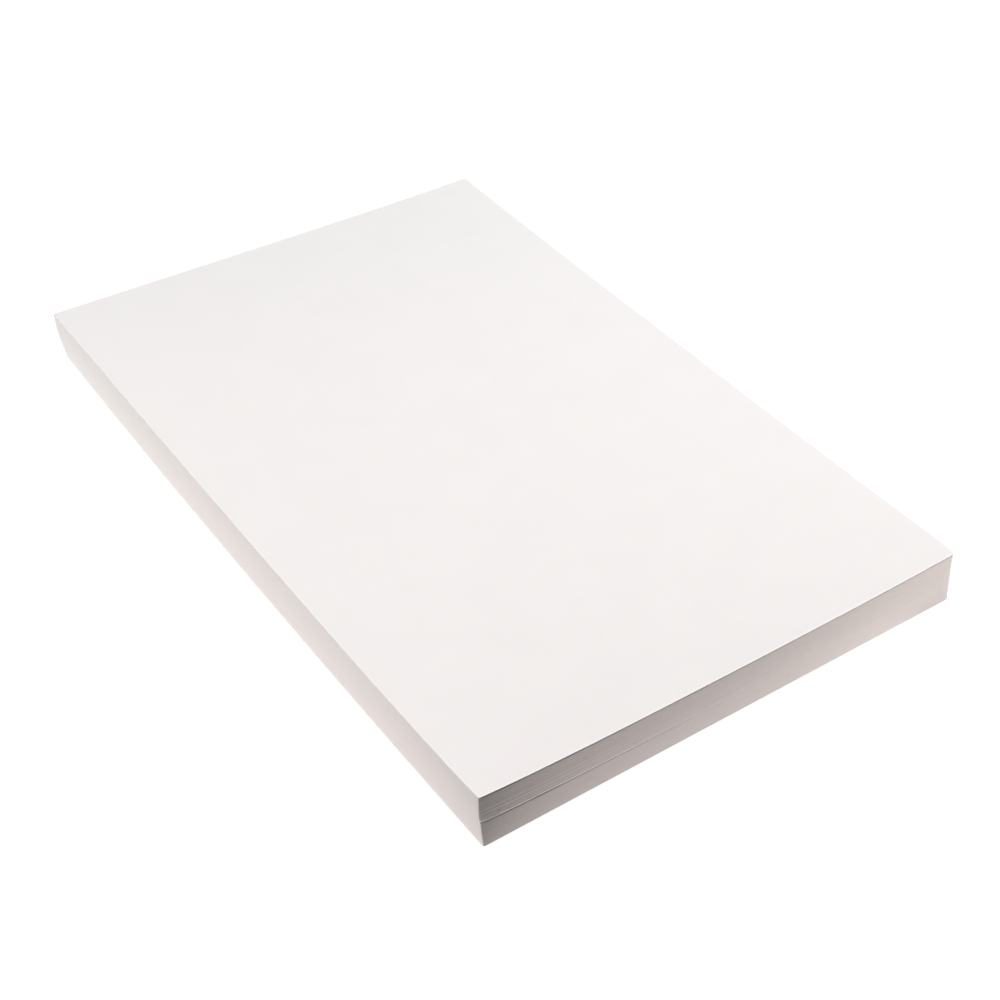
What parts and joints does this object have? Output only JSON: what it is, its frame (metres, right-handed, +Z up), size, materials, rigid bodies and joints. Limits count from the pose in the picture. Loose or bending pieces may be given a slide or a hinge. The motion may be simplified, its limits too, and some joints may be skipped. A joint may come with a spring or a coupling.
{
  "type": "ream of drawing paper",
  "caption": "Unwrapped stack of large white drawing paper: two loose lifts, one squared up on the other, with a top sheet, a slight lean and curled corners.",
  "frame": {"origin": "middle of the bottom sheet's underside, on the surface that the stack lies on", "axes": "+X across the sheets to the right of the front, +Y along the sheets away from the front, +Z up through the stack"},
  "size_m": [0.3103, 0.4592, 0.0388],
  "materials": {
    "drawing_paper": "matt, uncoated, faintly toothed white paper"
  },
  "bodies": {
    "root": {"lower_lift": "drawing_paper", "upper_lift": "drawing_paper", "top_sheet": "drawing_paper"}
  },
  "joints": []
}
